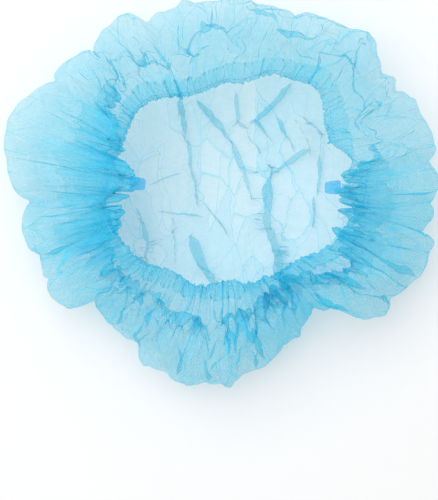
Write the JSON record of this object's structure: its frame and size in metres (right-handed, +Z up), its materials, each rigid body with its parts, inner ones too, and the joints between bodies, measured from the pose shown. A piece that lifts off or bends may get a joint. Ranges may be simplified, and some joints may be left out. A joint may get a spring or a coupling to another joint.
{
  "type": "disposable hairnet",
  "caption": "Puffy pleated nonwoven hair cap lying crown down, its mouth gathered by an elastic band under a frill, with a welded tab at each end of the folded strip.",
  "frame": {"origin": "on the surface that the cap lies on, under the middle of its bounding box", "axes": "+Z up out of the mouth, +X towards the right-hand welded tab, which is the cap's longest way, and -Y towards the large puff at the bottom of the picture"},
  "size_m": [0.2706, 0.2412, 0.0684],
  "materials": {
    "nonwoven": "thin pale blue spunbond polypropylene, matt and see-through",
    "elastic": "white knitted elastic, matt",
    "weld": "fused layers of blue nonwoven with a dotted weld"
  },
  "bodies": {
    "root": {"cap_sheet": "nonwoven", "elastic_band": "elastic", "end_weld_left": "weld", "end_weld_right": "weld"}
  },
  "joints": []
}
